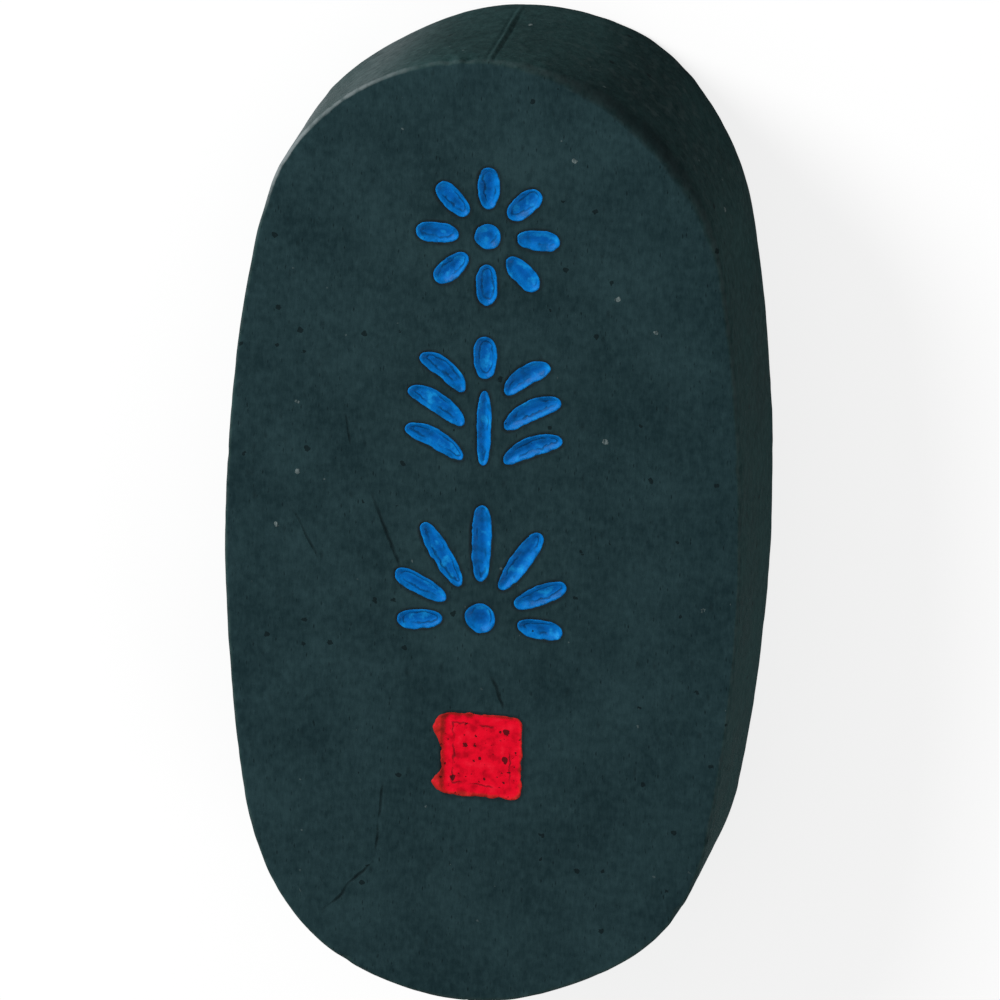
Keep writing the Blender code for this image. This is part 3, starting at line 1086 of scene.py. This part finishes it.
def ink_roughness(tree, skin):
    """Matte, more so on the wall and less on the left shoulder's wall, under the painted highlight."""
    rough = between_values(tree, skin["clouds"], 0.2, 0.8, 0.70, 0.82)
    rough = maths(tree, "MULTIPLY_ADD", skin["wall"], 0.16, rough)
    return maths(tree, "MULTIPLY_ADD", skin["rubbed_wall"], -0.25, rough)


def ink_height(tree, skin):
    """Grain, hairlines, pinholes and specks as one relief."""
    height = times(tree, skin["fine"], 0.7)
    for name, amount in (("coarse", 1.0), ("lines", -2.6), ("pinholes", -2.0), ("specks", 0.8)):
        height = maths(tree, "MULTIPLY_ADD", skin[name], amount, height)
    return height


def make_ink():
    """The cake's material."""
    material = bpy.data.materials.new("pressed_ink")
    tree, shader = shader_of(material)
    skin = skin_of_ink(tree)
    colour = bare_ink(tree, skin)
    for step in (worn_and_highlit_ink, torn_and_shaded_ink, marked_ink):
        colour = step(tree, skin, colour)
    finish(tree, shader, colour, ink_roughness(tree, skin), ink_height(tree, skin), INK_RELIEF)
    shader.inputs["Specular IOR Level"].default_value = INK_GLOSS
    return material


cake.data.materials.append(make_ink())
print("inked", cake.name)

# %% [markdown]
# Pigment bound with glue dries to a soft sheen. Its colour follows the depth in the
# groove: the blue is a little paler where it laps over the lip, painted highlight, full
# on the slopes, and darker in the valley and along a thin line there, painted shade.
# The red is darker at its rim and has a thin dark frame line; it is more rubbed, and
# black ink shows through in small pits.

# %% Blue and red pigment
# Blue: the rim's paler colour is painted highlight, the valley's darker colour painted shade.
BLUE_RIM = (0.0010, 0.1650, 0.5200)
BLUE_SLOPE = (0.0008, 0.1550, 0.5100)
BLUE_VALLEY = (0.0004, 0.0950, 0.3600)
BLUE_LIGHT = (0.0080, 0.3000, 0.7000)
RED_RIM = (0.4600, 0.0160, 0.0140)
RED_FULL = (0.7600, 0.0020, 0.0190)
RED_DULL = (0.3300, 0.0035, 0.0150)
RED_LIGHT = (0.8600, 0.0120, 0.0350)
PIGMENT_GLOSS = 0.05
PIGMENT_RELIEF = 0.04


def make_pigment(name, colours, deep_from, deep_to, line_at, pit_size, bare_share, roughness):
    """Pigment whose colour runs from rim over full to deep, with bare pits in it."""
    rim, full, deep, light = colours
    material = bpy.data.materials.new(name)
    tree, shader = shader_of(material)
    inside = mask_of(tree, "deep")
    strokes = use(tree, mottle, Size=0.7, Detail=4.0, Contrast=2.0)["Value"]
    cells = use(tree, mottle, Size=0.34, Detail=3.0, Contrast=1.0)["Value"]
    clouds = use(tree, mottle, Size=1.6, Detail=2.0, Contrast=1.6)["Value"]
    fine = use(tree, grain, Size=0.16, Stretch=1.4)
    wavy = maths(tree, "MULTIPLY_ADD", maths(tree, "SUBTRACT", strokes, 0.5), 0.30, inside)

    # On the blue, the paler rim is painted highlight and the darker valley painted shade; the red is darker
    # at its rim.
    colour = mixed(tree, between_values(tree, wavy, 0.02, 0.22), rim, full)
    colour = mixed(tree, between_values(tree, wavy, deep_from, deep_to), colour, deep)
    colour = mixed(tree, between_values(tree, strokes, 0.62, 0.95, 0.0, 0.75), colour, light)
    tone = between_values(tree, strokes, 0.20, 0.50, 0.62, 1.0)
    grey = add(tree, "ShaderNodeCombineColor", {0: tone, 1: tone, 2: tone}).outputs[0]
    colour = mixed(tree, 1.0, colour, grey, blend="MULTIPLY")
    # A dark line at line_at inside the outline: on the blue, painted shade along the valley; on the red,
    # the field's frame line.
    from_line = maths(tree, "ABSOLUTE", maths(tree, "SUBTRACT", wavy, line_at))
    line = between_values(tree, from_line, 0.02, 0.085, 1.0, 0.0)
    line = times(tree, line, between_values(tree, clouds, 0.40, 0.60))
    colour = tinted(tree, colour, line, 0.60, INK_BLACK_AND_SHADE)
    pits = use(tree, dust, Spacing=0.9, Size=pit_size, Share=0.30)["Mask"]
    bare = maths(tree, "MAXIMUM", pits, between_values(tree, cells, bare_share, bare_share - 0.035))
    colour = tinted(tree, colour, bare, 0.85, INK_BLACK_AND_SHADE)

    rough = between_values(tree, strokes, 0.2, 0.8, roughness, roughness + 0.18)
    rough = maths(tree, "MULTIPLY_ADD", bare, 0.25, rough)
    height = maths(tree, "MULTIPLY_ADD", fine["Height"], 0.6, strokes)
    height = maths(tree, "MULTIPLY_ADD", line, -0.8, height)
    height = maths(tree, "MULTIPLY_ADD", bare, -1.6, height)
    finish(tree, shader, colour, rough, height, PIGMENT_RELIEF)
    shader.inputs["Specular IOR Level"].default_value = PIGMENT_GLOSS
    return material


BLUES = (BLUE_RIM, BLUE_SLOPE, BLUE_VALLEY, BLUE_LIGHT)
REDS = (RED_RIM, RED_FULL, RED_DULL, RED_LIGHT)
blue = make_pigment("blue_pigment", BLUES, 0.30, 0.60, 0.30, 0.07, 0.26, 0.34)
red = make_pigment("red_pigment", REDS, 6.0, 8.0, 0.78, 0.46, 0.33, 0.46)
for skin in blue_skins.values():
    skin.data.materials.append(blue)
seal_skin.data.materials.append(red)
print("painted", len(blue_skins), "blue skins and the red field")

# %% [markdown]
# The stick lies on a pale floor. To the camera and to anything glossy it looks like a
# back-lit sheet: most of its white is its own, and the rest is lit, so that it keeps a
# faint shadow. It throws little light up at the stick, so the dark wall stays dark.

# %% Floor and surroundings
FLOOR_SIDE = 4.0
FLOOR_SEEN = (0.24, 0.24, 0.24)
FLOOR_GLOW = 0.78
FLOOR_THROWN_BACK = (0.40, 0.40, 0.40)


def seen_plainly(tree):
    """1 for rays from the camera, from gloss and through glass."""
    path = add(tree, "ShaderNodeLightPath")
    seen = maths(tree, "MAXIMUM", path.outputs["Is Camera Ray"], path.outputs["Is Glossy Ray"])
    return maths(tree, "MAXIMUM", seen, path.outputs["Is Transmission Ray"])


bpy.ops.mesh.primitive_plane_add(size=FLOOR_SIDE, location=(0, 0, 0))
floor = bpy.context.object
floor.name = "floor"
floor_material = bpy.data.materials.new("pale_floor")
tree, shader = shader_of(floor_material)
shader.inputs["Roughness"].default_value = 0.9
shader.inputs["Specular IOR Level"].default_value = 0.0
seen = seen_plainly(tree)
tree.links.new(mixed(tree, seen, FLOOR_THROWN_BACK, FLOOR_SEEN), shader.inputs["Base Color"])
shader.inputs["Emission Color"].default_value = (1, 1, 1, 1)
tree.links.new(times(tree, seen, FLOOR_GLOW), shader.inputs["Emission Strength"])
floor.data.materials.append(floor_material)

world = bpy.data.worlds.new("studio")
bpy.context.scene.world = world
world.use_nodes = True
AMBIENT = 0.40
background = world.node_tree.nodes["Background"]
strength = between_values(world.node_tree, seen_plainly(world.node_tree), 0.0, 1.0, AMBIENT, 1.0)
world.node_tree.links.new(strength, background.inputs["Strength"])
background.inputs["Color"].default_value = (1, 1, 1, 1)
print("floor of", FLOOR_SIDE, "m, ambient light", AMBIENT)

# %% [markdown]
# A soft lamp stands on the left, a little beyond the middle, so that light rakes over
# the face, models the grooves and catches the left half of the end wall. A weak lamp
# near the right-hand corner keeps the other wall from going black.

# %% Lamps
def soft_lamp(name, place, size, power):
    """An area lamp that looks at the stick's middle. Place is in metres."""
    light = bpy.data.lights.new(name, "AREA")
    light.shape = "DISK"
    light.size = size
    light.energy = power
    lamp = bpy.data.objects.new(name, light)
    lamp.location = place
    aim = Vector((0, 0, FACE * MM)) - Vector(place)
    lamp.rotation_euler = aim.to_track_quat("-Z", "Y").to_euler()
    bpy.context.scene.collection.objects.link(lamp)
    return lamp


soft_lamp("key", (-0.27, 0.19, 0.22), 0.16, 1.45)
soft_lamp("fill", (0.34, -0.26, 0.20), 0.30, 0.45)
print("two lamps")

# %% [markdown]
# The camera looks down on the face, a little from the head end and from the right, with
# a long lens, so the sides stay nearly parallel. Its turn is given as three small tilts
# of the stick in front of it.

# %% Camera
TILT, SWING, ROLL = (math.radians(degrees) for degrees in (20.6, -10.8, -1.2))
CAMERA_AWAY = 1.40
FRAME_WIDTH = 0.0667
AIM_ASIDE = Vector((-0.00007, -0.00032))
SENSOR = 0.036
NEAREST = 0.01

turned = Matrix.Rotation(ROLL, 3, "Z") @ Matrix.Rotation(TILT, 3, "X") @ Matrix.Rotation(SWING, 3, "Y")
right, up, towards = turned
middle = Vector((0, 0, FACE * MM / 2))
camera_data = bpy.data.cameras.new("camera")
camera_data.sensor_width = SENSOR * 1000
camera_data.lens = SENSOR * 1000 * CAMERA_AWAY / FRAME_WIDTH
camera_data.clip_start = NEAREST
camera = bpy.data.objects.new("camera", camera_data)
camera.matrix_world = Matrix.Translation(
    middle - right * AIM_ASIDE.x - up * AIM_ASIDE.y + towards * CAMERA_AWAY
) @ turned.transposed().to_4x4()
bpy.context.scene.collection.objects.link(camera)
bpy.context.scene.camera = camera
bpy.context.scene.view_settings.view_transform = "Standard"
print("lens", round(camera_data.lens), "mm from", CAMERA_AWAY, "m")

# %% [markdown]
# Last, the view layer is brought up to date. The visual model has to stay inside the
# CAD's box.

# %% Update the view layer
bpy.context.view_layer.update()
